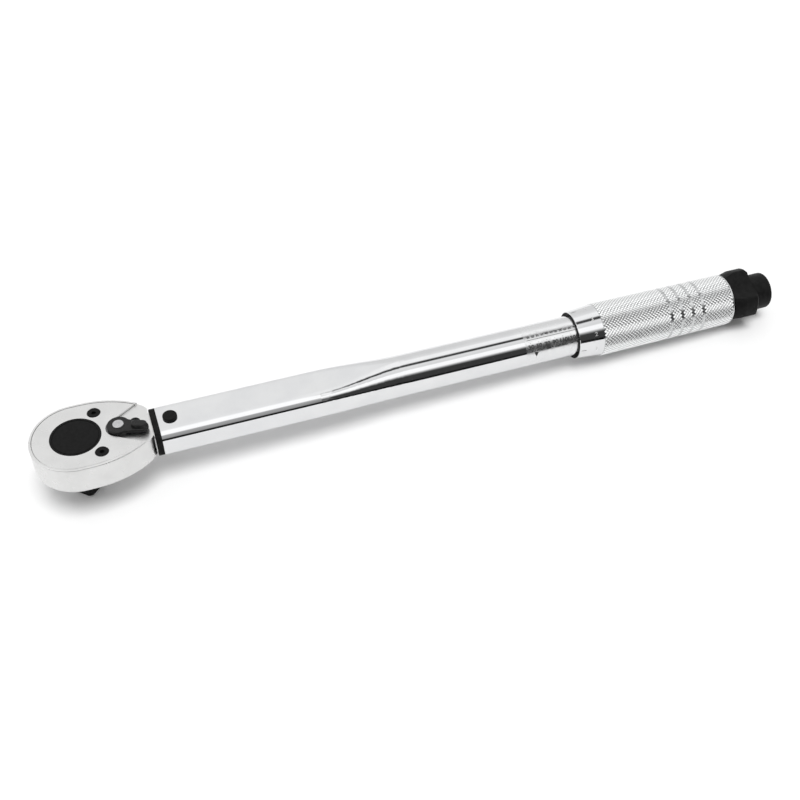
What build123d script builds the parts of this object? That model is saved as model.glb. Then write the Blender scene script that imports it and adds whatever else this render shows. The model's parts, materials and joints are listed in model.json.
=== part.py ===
from build123d import *

# Click-type torque wrench with a half-inch square drive.
# The origin is on the drive axis, in the plane of the drive's shoulder, where a socket seats.
# +X runs along the tube to the lock knob and +Z points away from the square. Millimetres.

import os
from math import acos, asin, cos, degrees, radians, sin

os.makedirs("parts", exist_ok=True)

# ---- driving dimensions ----
AXIS_Z = 12.0  # height of the tube's axis above the drive's shoulder
RUNNING = 0.05  # radial clearance of a shaft in its bore

# head
HEAD_R = 26.0  # nose radius about the drive axis
HEAD_TOP = AXIS_Z + 12.4
HEAD_BOTTOM = AXIS_Z - 6.8
FLANK_X = 6.0  # where the round flanks start
FLANK_R = 55.3
FLANK_END = 37.5
NECK_END = 41.9
COVER_T = 2.4
COVER_INSET = 1.5  # width of the head's rim round the cover
COVER_GAP = 0.18
FLOOR_Z = HEAD_TOP - 1.5  # sunk floor inside the cover's V notch
V_ANGLE = 32.0
V_RADIUS = 7.0
SCREW_X = 12.5
SCREW_Y = 15.9
SCREW_HEAD_R = 4.0
SCREW_R = 2.0

# ratchet
SQUARE = 12.7
SQUARE_LENGTH = 18.0
SQUARE_ANGLE = 45.0  # turn of the square about the drive axis, six teeth of the wheel
TIP_R = 7.2  # the square's corners are turned down to this at its tip
BOSS_R = 12.0
DISC_R = 14.4
TEETH = 48
GEAR_R = 16.5
TOOTH_DEPTH = 0.8
POCKET_BOTTOM = 9.0
GEAR_BOTTOM = POCKET_BOTTOM + 0.3
GEAR_TOP = HEAD_TOP - COVER_T - 0.2
PAWL_IN_R = 15.5
PAWL_OUT_R = 20.6
PAWL_HALF_ANGLE = 30.0
PAWL_PIN_X = 18.4
PAWL_PIN_R = 0.9
PAWL_ROCK = 5.0  # how far the pawl leans to each side of its middle
BALL_R = 2.4
BALL_OUT = SQUARE / 2 - BALL_R + 1.0  # centre of the ball from the drive axis
BALL_Z = -8.5

# reversing lever
LEVER_X = 24.3
LEVER_ANGLE = -22.0
LEVER_HUB_R = 6.6
LEVER_BOTTOM = FLOOR_Z + 0.15
ARM_BOTTOM = FLOOR_Z + 1.5
LEVER_TOP = AXIS_Z + 14.4
ARM_LENGTH = 17.2
ARM_WIDTH = 7.2
TAB_TOP = LEVER_TOP + 2.4
TAB_LENGTH = 9.5
TAB_WIDTH = 5.4
SHAFT_R = 3.2
PIN_Z = 15.5  # height of the detent pin
DETENT_R = 1.1
INDEX_X = 33.8
INDEX_Y = 2.3
INDEX_R = 3.0
INDEX_DEPTH = 6.0
INDEX_BALL_R = 1.3

# tube
TUBE_R = 12.7
WALL = 1.6
FLAT_W = 28.2
FLAT_H = 19.0
FLAT_CORNER = 6.5
FLAT_RISE = 1.4  # the flattened part sits this far above the tube's axis
COLLAR_START = 42.5
TUBE_START = 46.0
FLAT_END = 140.0
ROUND_START = 195.0
TUBE_END = 372.0
PIVOT_X = 53.3
PIVOT_R = 3.5
PIVOT_HEAD_R = 4.2
PIVOT_HEAD_H = 1.6

# click mechanism inside the tube
NECK_START = 30.0
NECK_H = 7.4  # half height of the neck and tail
NECK_W = 10.5  # half width of the neck
TAIL_END = 150.0
TAIL_W = 5.0
BLOCK = 9.0
NOSE_R = 7.4
PLUNGER_START = 200.0
PLUNGER_END = 222.0
SPRING_END = 292.0
SPRING_WIRE = 4.0
SPRING_R = 8.6  # from the tube's axis to the middle of the wire
SPRING_COILS = 9
SEAT_END = 299.0
SCREW_TIP = 300.5
THRUST_BALL_R = 2.5
BALL_X = SEAT_END - 2 + THRUST_BALL_R
CUP_R = THRUST_BALL_R + 0.02  # hollow in the screw's tip for the thrust ball

# adjusting screw, handle and lock
SLEEVE_START = 305.9
KNURL_START = 322.0
SLEEVE_END = 414.6
SLEEVE_BORE = TUBE_R + 0.08
THIMBLE_R = 15.2
KNURL_R = 16.9
GRIP_END_R = 16.4
GROOVE_W = 0.9
WIPER_SETBACK = 0.2
WIPER_W = 2.6
WIPER_T = 1.8
GROOVE_X = 369.3
GROOVE_STEP = 7.5
GROOVES = 4
PLUG_START = 325.0
PLUG_THREAD = 356.0
PLUG_END = 370.0
PLUG_PIN_X = 363.0
PLUG_PIN_R = 1.5
PLUG_PIN_DEPTH = 5.0
THREAD_R = 6.0
THREAD_PITCH = 2.0
THREAD_DEPTH = 0.9
THREAD_START = 358.0
THREAD_END = 394.0
HUB_START = 398.0
HUB_STEP = 402.0
HUB_END = 413.5
HUB_PIN_X = 400.0
HUB_PIN_R = 1.2
JOURNAL_R = 5.0
ROD_R = 2.6
ROD_START = 340.0
ROD_SPRING_START = 326.0
ROD_NECK_R = 1.7
ROD_SEAT_R = 2.25
LOCK_STROKE = 2.5
BOLT_START = 404.0
BOLT_R = 4.0
BOLT_END = 438.0
LOCK_X = 352.0
LOCK_BALL_R = 1.9
LOCK_BALL_OUT = 4.3  # centre of a lock ball from the tube's axis while locked
KNOB_START = 415.0
FLANGE_END = 431.5
KNOB_END = 444.7
LOBES = 3
LOBE_R = 17.2
LOBE_CHAMFER = 1.9  # slant of the lobes' rear ends
LOBE_TAPER = 7.0  # length of the lobes' front taper
LOBE_FRONT_R = 15.4
KNOB_R = 11.6
SCALLOP_R = 30.0
SCALLOP_DEPTH = 5.0
SCALLOP_ANGLE = 110.0

# ---- planes and axes ----
ACROSS = Plane(origin=(0, 0, AXIS_Z), x_dir=(0, 1, 0), z_dir=(1, 0, 0))  # sections of the tube
ALONG = Plane(origin=(0, 0, AXIS_Z), x_dir=(1, 0, 0), z_dir=(0, -1, 0))  # upright, through the axis
TUBE_AXIS = Axis((0, 0, AXIS_Z), (1, 0, 0))
PAWL_AXIS = Axis((PAWL_PIN_X, 0, 0), (0, 0, 1))
LEVER_AXIS = Axis((LEVER_X, 0, 0), (0, 0, 1))


def head_outline(inset=0.0):
    """The head from above: round nose, straight cheeks, round flanks and a cut neck."""
    flank_angle = degrees(asin((FLANK_END - FLANK_X) / FLANK_R))
    with BuildSketch() as outline:
        with BuildLine():
            nose = CenterArc((0, 0), HEAD_R - inset, 90, 90)
            Line(nose @ 0, (FLANK_X, HEAD_R - inset))
            flank = CenterArc((FLANK_X, HEAD_R - FLANK_R), FLANK_R - inset, 90, -flank_angle)
            TangentArc(flank @ 1, (NECK_END - inset, 11.2), tangent=flank % 1)
            Line((NECK_END - inset, 11.2), (NECK_END - inset, 0))
            mirror(about=Plane.XZ)
        make_face()
    return outline.sketch


def notch_outline(grow=0.0):
    """The V notch round the lever, with its apex rounded about the lever's axis."""
    reach = 40.0
    run = reach * cos(radians(V_ANGLE))
    rise = reach * sin(radians(V_ANGLE))
    with BuildSketch() as notch:
        with BuildLine():
            apex = CenterArc((LEVER_X, 0), V_RADIUS + grow, 90 + V_ANGLE, 180 - 2 * V_ANGLE)
            upper = Line(apex @ 0, apex @ 0 + Vector(run, rise))
            lower = Line(apex @ 1, apex @ 1 + Vector(run, -rise))
            Line(upper @ 1, lower @ 1)
        make_face()
    return notch.sketch


def gear_outline(grow=0.0):
    """Toothed wheel with symmetric V gaps, one gap on the +X axis."""
    half_gap = 0.95 - grow
    with BuildSketch() as wheel:
        Circle(GEAR_R + grow)
        with PolarLocations(GEAR_R + grow, TEETH):
            Polygon((-TOOTH_DEPTH, 0), (0.1, -half_gap), (0.1, half_gap), align=None, mode=Mode.SUBTRACT)
    return wheel.sketch


def tube_skin(inset):
    """Solid bounded by the tube's outside, or by its bore when inset by the wall."""
    steps = 6
    with BuildPart() as skin:
        for i in range(steps + 1):
            t = i / steps
            s = t * t * (3 - 2 * t)
            width = FLAT_W + (2 * TUBE_R - FLAT_W) * s - 2 * inset
            height = FLAT_H + (2 * TUBE_R - FLAT_H) * s - 2 * inset
            corner = FLAT_CORNER - inset + (TUBE_R - 0.1 - FLAT_CORNER) * s
            with BuildSketch(ACROSS.offset(FLAT_END + (ROUND_START - FLAT_END) * t)):
                with Locations((0, FLAT_RISE * (1 - s))):
                    RectangleRounded(width, height, corner)
        loft()
        with BuildSketch(ACROSS.offset(TUBE_START)):
            with Locations((0, FLAT_RISE)):
                RectangleRounded(FLAT_W - 2 * inset, FLAT_H - 2 * inset, FLAT_CORNER - inset)
        extrude(amount=FLAT_END - TUBE_START)
        with BuildSketch(ACROSS.offset(ROUND_START)):
            Circle(TUBE_R - inset)
        extrude(amount=TUBE_END - ROUND_START)
    return skin.part


def coil(start, length, turns, radius, wire):
    """Spring wound round the X axis of its plane, from its first coil's centre."""
    path = Helix(pitch=length / turns, height=length, radius=radius)
    with BuildPart() as wound:
        with BuildSketch(Plane(origin=path @ 0, z_dir=path % 0)):
            Circle(wire / 2)
        sweep(path=path)
    return start * wound.part


# ---- ratchet head: forged body, neck and the tail that runs down the tube ----
POCKET_ANGLE = PAWL_HALF_ANGLE + 5
with BuildPart() as tail_bar:
    with BuildSketch(Plane.XY.offset(AXIS_Z + FLAT_RISE - NECK_H)):
        with BuildLine():
            Polyline((NECK_START, 0), (NECK_START, NECK_W), (PIVOT_X - 2, NECK_W))
            Polyline((PIVOT_X - 2, NECK_W), (TAIL_END, TAIL_W), (TAIL_END, 0))
            mirror(about=Plane.XZ)
        make_face()
    extrude(amount=2 * NECK_H)
    inner_edges = tail_bar.edges().filter_by(lambda e: NECK_START < e.center().X < TAIL_END)
    fillet(inner_edges.filter_by(lambda e: e.length > 2 * NECK_H), radius=2.8)

with BuildPart() as ratchet_head:
    with BuildSketch(Plane.XY.offset(HEAD_BOTTOM)):
        add(head_outline())
    extrude(amount=HEAD_TOP - HEAD_BOTTOM)
    base = ratchet_head.faces().sort_by(Axis.Z)[0].edges()
    fillet(base, radius=3.2)
    rim = ratchet_head.faces().sort_by(Axis.Z)[-1].edges()
    fillet(rim.filter_by(lambda e: e.center().X < NECK_END - 1), radius=0.6)
    add(tail_bar.part)
    # room for the toothed wheel and the pawl
    with BuildSketch(Plane.XY.offset(POCKET_BOTTOM)):
        Circle(GEAR_R + 0.5)
        with BuildLine():
            back = CenterArc((0, 0), PAWL_OUT_R + 1.9, -POCKET_ANGLE, 2 * POCKET_ANGLE)
            Polyline(back @ 0, (0, 0), back @ 1)
        make_face()
    extrude(amount=HEAD_TOP, mode=Mode.SUBTRACT)
    # sunk floor of the V notch, seat of the cover, bores
    with BuildSketch(Plane.XY.offset(FLOOR_Z)):
        add(notch_outline())
    extrude(amount=HEAD_TOP, mode=Mode.SUBTRACT)
    with BuildSketch(Plane.XY.offset(HEAD_TOP - COVER_T)):
        add(head_outline(COVER_INSET))
        add(notch_outline(), mode=Mode.SUBTRACT)
    extrude(amount=HEAD_TOP, mode=Mode.SUBTRACT)
    with BuildSketch(Plane.XY):
        Circle(BOSS_R + RUNNING)
    extrude(amount=HEAD_TOP, mode=Mode.SUBTRACT)
    with BuildSketch(Plane.XY.offset(POCKET_BOTTOM)):
        with Locations((LEVER_X, 0)):
            Circle(SHAFT_R + RUNNING)
    extrude(amount=HEAD_TOP, mode=Mode.SUBTRACT)
    with BuildSketch(Plane.XY.offset(HEAD_TOP - COVER_T - 7)):
        with Locations((SCREW_X, SCREW_Y), (SCREW_X, -SCREW_Y)):
            Circle(SCREW_R)
    extrude(amount=HEAD_TOP, mode=Mode.SUBTRACT)
    with BuildSketch(Plane.XY.offset(FLOOR_Z - INDEX_DEPTH)):
        with Locations((INDEX_X, INDEX_Y)):
            Circle(INDEX_R - 0.6)
    extrude(amount=HEAD_TOP, mode=Mode.SUBTRACT)
    with BuildSketch(Plane.XY):
        with Locations((PIVOT_X, 0)):
            Circle(PIVOT_R + RUNNING)
    extrude(amount=HEAD_TOP, mode=Mode.SUBTRACT)
ratchet_head.part.label = "ratchet_head"
export_step(ratchet_head.part, "parts/ratchet_head.step")

# ---- cover plate ----
with BuildPart() as cover_plate:
    with BuildSketch(Plane.XY.offset(HEAD_TOP - COVER_T)):
        add(head_outline(COVER_INSET + COVER_GAP))
        add(notch_outline(COVER_GAP), mode=Mode.SUBTRACT)
    extrude(amount=COVER_T)
    chamfer(cover_plate.faces().sort_by(Axis.Z)[-1].edges(), length=0.2)
    with BuildSketch(Plane.XY.offset(HEAD_TOP - COVER_T)):
        Circle(DISC_R + 0.1)
    extrude(amount=COVER_T, mode=Mode.SUBTRACT)
    with Locations((SCREW_X, SCREW_Y, HEAD_TOP), (SCREW_X, -SCREW_Y, HEAD_TOP)):
        CounterSinkHole(radius=SCREW_R, counter_sink_radius=SCREW_HEAD_R, depth=COVER_T)
cover_plate.part.label = "cover_plate"
export_step(cover_plate.part, "parts/cover_plate.step")

# ---- cover screws: countersunk, hex socket ----
SCREW_TOP = HEAD_TOP - 0.15
CONE_H = SCREW_HEAD_R - SCREW_R
with BuildPart() as cover_screws:
    for y in (SCREW_Y, -SCREW_Y):
        with BuildSketch(Plane(origin=(SCREW_X, y, SCREW_TOP - CONE_H), x_dir=(1, 0, 0), z_dir=(0, -1, 0))):
            with BuildLine():
                Polyline((0, CONE_H), (SCREW_HEAD_R - 0.15, CONE_H), (SCREW_R - 0.05, 0))
                Polyline((SCREW_R - 0.05, 0), (SCREW_R - 0.05, -6), (0, -6), (0, CONE_H))
            make_face()
        revolve(axis=Axis((SCREW_X, y, 0), (0, 0, 1)))
    with BuildSketch(Plane.XY.offset(SCREW_TOP - 1.6)):
        with Locations((SCREW_X, SCREW_Y), (SCREW_X, -SCREW_Y)):
            RegularPolygon(radius=1.45, side_count=6)
    extrude(amount=1.6, mode=Mode.SUBTRACT)
cover_screws.part.label = "cover_screws"
export_step(cover_screws.part, "parts/cover_screws.step")

# ---- the drive's square, with its corners turned down to a cone at the tip ----
BALL_FACE = Plane(
    origin=(0, 0, BALL_Z),
    z_dir=(-sin(radians(SQUARE_ANGLE)), cos(radians(SQUARE_ANGLE)), 0),
)
with BuildPart() as square_bar:
    with BuildSketch(Plane.XY):
        Rectangle(SQUARE, SQUARE, rotation=SQUARE_ANGLE)
    extrude(amount=-SQUARE_LENGTH)
    fillet(square_bar.edges().filter_by(Axis.Z), radius=1.0)
    with BuildSketch(Plane.XZ):
        with BuildLine():
            cone_top = SQUARE - TIP_R - SQUARE_LENGTH
            Polyline((TIP_R, -SQUARE_LENGTH), (SQUARE, -SQUARE_LENGTH), (SQUARE, cone_top))
            Line((SQUARE, cone_top), (TIP_R, -SQUARE_LENGTH))
        make_face()
    revolve(axis=Axis.Z, mode=Mode.SUBTRACT)
    chamfer(square_bar.faces().sort_by(Axis.Z)[0].edges(), length=0.4)

# ---- drive: toothed wheel, back disc, boss and square in one piece ----
with BuildPart() as drive_gear:
    with BuildSketch(Plane.XY.offset(GEAR_BOTTOM)):
        add(gear_outline())
    extrude(amount=GEAR_TOP - GEAR_BOTTOM)
    with BuildSketch(Plane.XY.offset(GEAR_TOP)):
        Circle(DISC_R)
    extrude(amount=HEAD_TOP - 0.1 - GEAR_TOP)
    with BuildSketch(Plane.XY):
        Circle(BOSS_R)
    extrude(amount=GEAR_BOTTOM)
    fillet(drive_gear.faces().sort_by(Axis.Z)[0].edges(), radius=0.8)
    fillet(drive_gear.faces().sort_by(Axis.Z)[-1].edges(), radius=0.4)
    add(square_bar.part)
    with BuildSketch(Plane.XY.offset(HEAD_TOP - 0.5)):
        Circle(DISC_R - 1.2)
        Circle(DISC_R - 1.6, mode=Mode.SUBTRACT)
    extrude(amount=1, mode=Mode.SUBTRACT)
    with BuildSketch(BALL_FACE.offset(0.5)):
        Circle(BALL_R + RUNNING)
    extrude(amount=SQUARE, mode=Mode.SUBTRACT)
drive_gear.part.label = "drive_gear"
export_step(drive_gear.part, "parts/drive_gear.step")

# ---- thin wave washer under the toothed wheel, drawn flat ----
with BuildPart() as drive_washer:
    with BuildSketch(Plane.XY.offset(POCKET_BOTTOM)):
        Circle(GEAR_R - 1)
        Circle(BOSS_R + 0.3, mode=Mode.SUBTRACT)
    extrude(amount=GEAR_BOTTOM - POCKET_BOTTOM - 0.05)
drive_washer.part.label = "drive_washer"
export_step(drive_washer.part, "parts/drive_washer.step")

# ---- socket retaining ball and its spring in the square ----
with BuildPart() as drive_ball:
    with Locations(BALL_FACE.offset(BALL_OUT)):
        Sphere(BALL_R)
drive_ball.part.label = "drive_ball"
export_step(drive_ball.part, "parts/drive_ball.step")

with BuildPart() as drive_ball_spring:
    add(coil(BALL_FACE.offset(0.8).location, BALL_OUT - BALL_R - 1.2, 2, 1.2, 0.5))
drive_ball_spring.part.label = "drive_ball_spring"
export_step(drive_ball_spring.part, "parts/drive_ball_spring.step")

# ---- pawl: two-ended crescent on its own pin ----
with BuildPart() as pawl:
    with BuildSketch(Plane.XY.offset(GEAR_BOTTOM)):
        with BuildLine():
            outer = CenterArc((0, 0), PAWL_OUT_R, 0, PAWL_HALF_ANGLE)
            inner = CenterArc((0, 0), PAWL_IN_R, 0, PAWL_HALF_ANGLE)
            Line(outer @ 0, inner @ 0)
            Line(outer @ 1, inner @ 1)
        make_face()
    extrude(amount=GEAR_TOP - GEAR_BOTTOM)
    # teeth are cut with the half leaning into the wheel
    with BuildSketch(Plane.XY.offset(GEAR_BOTTOM)):
        add(gear_outline(0.12).rotate(PAWL_AXIS, -PAWL_ROCK))
    extrude(amount=GEAR_TOP - GEAR_BOTTOM, mode=Mode.SUBTRACT)
    mirror(about=Plane.XZ)
    # the middle stands clear of the wheel, and the back stands clear of the lever's shaft
    with BuildSketch(Plane.XY.offset(GEAR_BOTTOM)):
        with Locations((GEAR_R - 1.35, 0)):
            Rectangle(4, 10)
        with Locations((LEVER_X, 0)):
            Circle(SHAFT_R + 1.1)
    extrude(amount=GEAR_TOP - GEAR_BOTTOM, mode=Mode.SUBTRACT)
    with BuildSketch(Plane.XY.offset(GEAR_BOTTOM)):
        with Locations((PAWL_PIN_X, 0)):
            Circle(PAWL_PIN_R + RUNNING)
    extrude(amount=GEAR_TOP - GEAR_BOTTOM, mode=Mode.SUBTRACT)
pawl_at_rest = pawl.part.rotate(PAWL_AXIS, PAWL_ROCK)
pawl_at_rest.label = "pawl"
export_step(pawl_at_rest, "parts/pawl.step")

# ---- pawl pin, standing in the floor of the head's pocket ----
with BuildPart() as pawl_pin:
    with BuildSketch(Plane.XY.offset(POCKET_BOTTOM)):
        with Locations((PAWL_PIN_X, 0)):
            Circle(PAWL_PIN_R)
    extrude(amount=GEAR_TOP - POCKET_BOTTOM)
pawl_pin.part.label = "pawl_pin"
export_step(pawl_pin.part, "parts/pawl_pin.step")

# ---- reversing lever: hub, arm and raised thumb tab, modelled along +X and swung to rest ----
with BuildPart() as reversing_lever:
    with BuildSketch(Plane.XY.offset(ARM_BOTTOM)):
        with BuildLine():
            tip_arc = CenterArc((LEVER_X + ARM_LENGTH - ARM_WIDTH / 2, 0), ARM_WIDTH / 2, -90, 180)
            Polyline(tip_arc @ 0, (LEVER_X, -LEVER_HUB_R + 1.2), (LEVER_X, LEVER_HUB_R - 1.2), tip_arc @ 1)
        make_face()
    extrude(amount=LEVER_TOP - ARM_BOTTOM)
    with BuildSketch(Plane.XY.offset(LEVER_BOTTOM)):
        with Locations((LEVER_X, 0)):
            Circle(LEVER_HUB_R)
    extrude(amount=LEVER_TOP - LEVER_BOTTOM)
    fillet(reversing_lever.faces().sort_by(Axis.Z)[-1].edges(), radius=0.8)
    with BuildSketch(Plane.XY.offset(LEVER_TOP - 0.8)):
        with Locations((LEVER_X + ARM_LENGTH - TAB_LENGTH / 2 - 0.4, 0)):
            SlotOverall(TAB_LENGTH, TAB_WIDTH)
    extrude(amount=TAB_TOP - LEVER_TOP + 0.8, taper=6)
    fillet(reversing_lever.faces().sort_by(Axis.Z)[-1].edges(), radius=0.9)
    with BuildSketch(Plane.XY.offset(LEVER_BOTTOM)):
        with Locations((LEVER_X, 0)):
            Circle(SHAFT_R)
    extrude(amount=TAB_TOP, mode=Mode.SUBTRACT)
lever_at_rest = reversing_lever.part.rotate(LEVER_AXIS, LEVER_ANGLE)
lever_at_rest.label = "reversing_lever"
export_step(lever_at_rest, "parts/reversing_lever.step")

# ---- lever shaft: riveted over the hub, cross bored for the detent pin ----
DETENT = Plane(
    origin=(LEVER_X, 0, PIN_Z),
    z_dir=(-cos(radians(LEVER_ANGLE)), -sin(radians(LEVER_ANGLE)), 0),
)
with BuildPart() as lever_shaft:
    with BuildSketch(Plane.XY.offset(POCKET_BOTTOM + 0.1)):
        with Locations((LEVER_X, 0)):
            Circle(SHAFT_R)
    extrude(amount=LEVER_TOP + 0.6 - POCKET_BOTTOM)
    fillet(lever_shaft.faces().sort_by(Axis.Z)[-1].edges(), radius=0.5)
    with BuildSketch(DETENT.offset(-1.6)):
        Circle(DETENT_R + RUNNING)
    extrude(amount=10, mode=Mode.SUBTRACT)
lever_shaft.part.label = "lever_shaft"
export_step(lever_shaft.part, "parts/lever_shaft.step")

# ---- detent pin and spring: the pin presses on the back of the pawl ----
with BuildPart() as detent_pin:
    with BuildSketch(DETENT.offset(1.2)):
        Circle(DETENT_R)
    extrude(amount=2.6)
    fillet(detent_pin.faces().sort_by(Axis((0, 0, 0), DETENT.z_dir))[-1].edges(), radius=0.9)
detent_pin.part.label = "detent_pin"
export_step(detent_pin.part, "parts/detent_pin.step")

with BuildPart() as detent_spring:
    add(coil(DETENT.offset(-1.3).location, 2.2, 3, 0.7, 0.35))
detent_spring.part.label = "detent_spring"
export_step(detent_spring.part, "parts/detent_spring.step")

# ---- index plunger: screwed body, ball and spring beside the lever ----
with BuildPart() as index_plunger:
    with BuildSketch(Plane.XY.offset(FLOOR_Z - INDEX_DEPTH)):
        with Locations((INDEX_X, INDEX_Y)):
            Circle(INDEX_R - 0.65)
    extrude(amount=INDEX_DEPTH)
    with BuildSketch(Plane.XY.offset(FLOOR_Z)):
        with Locations((INDEX_X, INDEX_Y)):
            Circle(INDEX_R)
    extrude(amount=1.0)
    fillet(index_plunger.faces().sort_by(Axis.Z)[-1].edges(), radius=0.6)
    with BuildSketch(Plane.XY.offset(FLOOR_Z - INDEX_DEPTH + 1)):
        with Locations((INDEX_X, INDEX_Y)):
            Circle(INDEX_BALL_R + RUNNING)
    extrude(amount=INDEX_DEPTH, mode=Mode.SUBTRACT)
index_plunger.part.label = "index_plunger"
export_step(index_plunger.part, "parts/index_plunger.step")

with BuildPart() as index_ball:
    with Locations((INDEX_X, INDEX_Y, FLOOR_Z + 1.2 - INDEX_BALL_R)):
        Sphere(INDEX_BALL_R)
index_ball.part.label = "index_ball"
export_step(index_ball.part, "parts/index_ball.step")

with BuildPart() as index_spring:
    add(coil(Location((INDEX_X, INDEX_Y, FLOOR_Z - INDEX_DEPTH + 1.3)), 2.9, 4, 0.8, 0.35))
index_spring.part.label = "index_spring"
export_step(index_spring.part, "parts/index_spring.step")

# ---- collar between the head and the tube ----
with BuildPart() as tube_collar:
    with BuildSketch(ACROSS.offset(COLLAR_START)):
        with Locations((0, FLAT_RISE)):
            RectangleRounded(FLAT_W - 1.0, FLAT_H - 1.0, FLAT_CORNER - 1.0)
            RectangleRounded(FLAT_W - 3.0, FLAT_H - 3.0, FLAT_CORNER - 2.5, mode=Mode.SUBTRACT)
    extrude(amount=TUBE_START - COLLAR_START)
    chamfer(tube_collar.faces().sort_by(Axis.X)[0].outer_wire().edges(), length=0.3)
tube_collar.part.label = "tube_collar"
export_step(tube_collar.part, "parts/tube_collar.step")

# ---- tube: flattened at the head end, round at the handle end ----
with BuildPart() as tube:
    add(tube_skin(0))
    add(tube_skin(WALL), mode=Mode.SUBTRACT)
    with BuildSketch(Plane.XY):
        with Locations((PIVOT_X, 0)):
            Circle(PIVOT_R)
    extrude(amount=HEAD_TOP, mode=Mode.SUBTRACT)
    with BuildSketch(Plane(origin=(PLUG_PIN_X, -TUBE_R - 1, AXIS_Z), z_dir=(0, 1, 0))):
        Circle(PLUG_PIN_R)
    extrude(amount=2 * TUBE_R + 2, mode=Mode.SUBTRACT)
tube.part.label = "tube"
export_step(tube.part, "parts/tube.step")

# ---- pivot pin: round head above, peened below ----
with BuildPart() as pivot_pin:
    with BuildSketch(Plane(origin=(PIVOT_X, 0, AXIS_Z), x_dir=(1, 0, 0), z_dir=(0, -1, 0))):
        with BuildLine():
            top = FLAT_RISE + FLAT_H / 2
            foot = FLAT_RISE - FLAT_H / 2
            crown = top + PIVOT_HEAD_H
            Polyline((0, crown), (0, foot - 0.8), (PIVOT_HEAD_R - 0.5, foot - 0.8))
            Polyline((PIVOT_HEAD_R - 0.5, foot - 0.8), (PIVOT_HEAD_R, foot), (PIVOT_R, foot))
            Polyline((PIVOT_R, foot), (PIVOT_R, top), (PIVOT_HEAD_R, top))
            Polyline((PIVOT_HEAD_R, top), (PIVOT_HEAD_R, crown), (0, crown))
        make_face()
    revolve(axis=Axis((PIVOT_X, 0, 0), (0, 0, 1)))
    fillet(pivot_pin.faces().sort_by(Axis.Z)[-1].edges(), radius=0.6)
pivot_pin.part.label = "pivot_pin"
export_step(pivot_pin.part, "parts/pivot_pin.step")

# ---- tilting block between the tail and the plunger ----
with BuildPart() as tilt_block:
    with BuildSketch(ACROSS.offset(TAIL_END)):
        Rectangle(BLOCK, BLOCK - 1)
    extrude(amount=BLOCK)
tilt_block.part.label = "tilt_block"
export_step(tilt_block.part, "parts/tilt_block.step")

# ---- plunger: slides in the round bore, its nose reaches the block ----
with BuildPart() as plunger:
    with BuildSketch(ALONG):
        with BuildLine():
            nose_x = TAIL_END + BLOCK
            body_r = TUBE_R - WALL - RUNNING
            Polyline((nose_x, 0), (nose_x, NOSE_R), (PLUNGER_START - 2, NOSE_R))
            Line((PLUNGER_START - 2, NOSE_R), (PLUNGER_START, body_r - 1))
            Polyline((PLUNGER_START, body_r - 1), (PLUNGER_START, body_r), (PLUNGER_END, body_r))
            Line((PLUNGER_END, body_r), (PLUNGER_END, 6))
            Polyline((PLUNGER_END, 6), (PLUNGER_END - 8, 6), (PLUNGER_END - 8, 0), (nose_x, 0))
        make_face()
    revolve(axis=TUBE_AXIS)
plunger.part.label = "plunger"
export_step(plunger.part, "parts/plunger.step")

# ---- main spring, wound between the plunger and the spring seat ----
with BuildPart() as main_spring:
    first_coil = ACROSS.offset(PLUNGER_END + SPRING_WIRE / 2)
    wound_length = SPRING_END - PLUNGER_END - SPRING_WIRE
    add(coil(first_coil.location, wound_length, SPRING_COILS, SPRING_R, SPRING_WIRE))
main_spring.part.label = "main_spring"
export_step(main_spring.part, "parts/main_spring.step")

# ---- spring seat: a cup that centres the spring and carries the thrust ball ----
with BuildPart() as spring_seat:
    with BuildSketch(ALONG):
        with BuildLine():
            body_r = TUBE_R - WALL - RUNNING
            Polyline((SPRING_END - 6, 0), (SPRING_END - 6, 5.8), (SPRING_END, 6.2), (SPRING_END, body_r))
            Polyline((SPRING_END, body_r), (SEAT_END, body_r), (SEAT_END, 3))
            Polyline((SEAT_END, 3), (SEAT_END - 2, 2), (SEAT_END - 2, 0), (SPRING_END - 6, 0))
        make_face()
    revolve(axis=TUBE_AXIS)
spring_seat.part.label = "spring_seat"
export_step(spring_seat.part, "parts/spring_seat.step")

with BuildPart() as thrust_ball:
    with Locations((BALL_X, 0, AXIS_Z)):
        Sphere(THRUST_BALL_R)
thrust_ball.part.label = "thrust_ball"
export_step(thrust_ball.part, "parts/thrust_ball.step")

# ---- end plug: threaded insert fixed in the tube, with a plain bore where the lock balls press ----
with BuildPart() as end_plug:
    with BuildSketch(ACROSS.offset(PLUG_START)):
        Circle(TUBE_R - WALL)
    extrude(amount=PLUG_END - PLUG_START)
    chamfer(end_plug.edges().filter_by(GeomType.CIRCLE), length=0.6)
    with BuildSketch(ACROSS.offset(PLUG_START)):
        Circle(LOCK_BALL_OUT + LOCK_BALL_R + RUNNING)
    extrude(amount=PLUG_THREAD - PLUG_START, mode=Mode.SUBTRACT)
    with BuildSketch(ACROSS.offset(PLUG_THREAD)):
        Circle(THREAD_R + RUNNING)
    extrude(amount=PLUG_END - PLUG_THREAD, mode=Mode.SUBTRACT)
    with BuildSketch(Plane(origin=(PLUG_PIN_X, -TUBE_R, AXIS_Z), z_dir=(0, 1, 0))):
        Circle(PLUG_PIN_R)
    extrude(amount=PLUG_PIN_DEPTH, mode=Mode.SUBTRACT)
    with BuildSketch(Plane(origin=(PLUG_PIN_X, TUBE_R, AXIS_Z), z_dir=(0, -1, 0))):
        Circle(PLUG_PIN_R)
    extrude(amount=PLUG_PIN_DEPTH, mode=Mode.SUBTRACT)
end_plug.part.label = "end_plug"
export_step(end_plug.part, "parts/end_plug.step")

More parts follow.
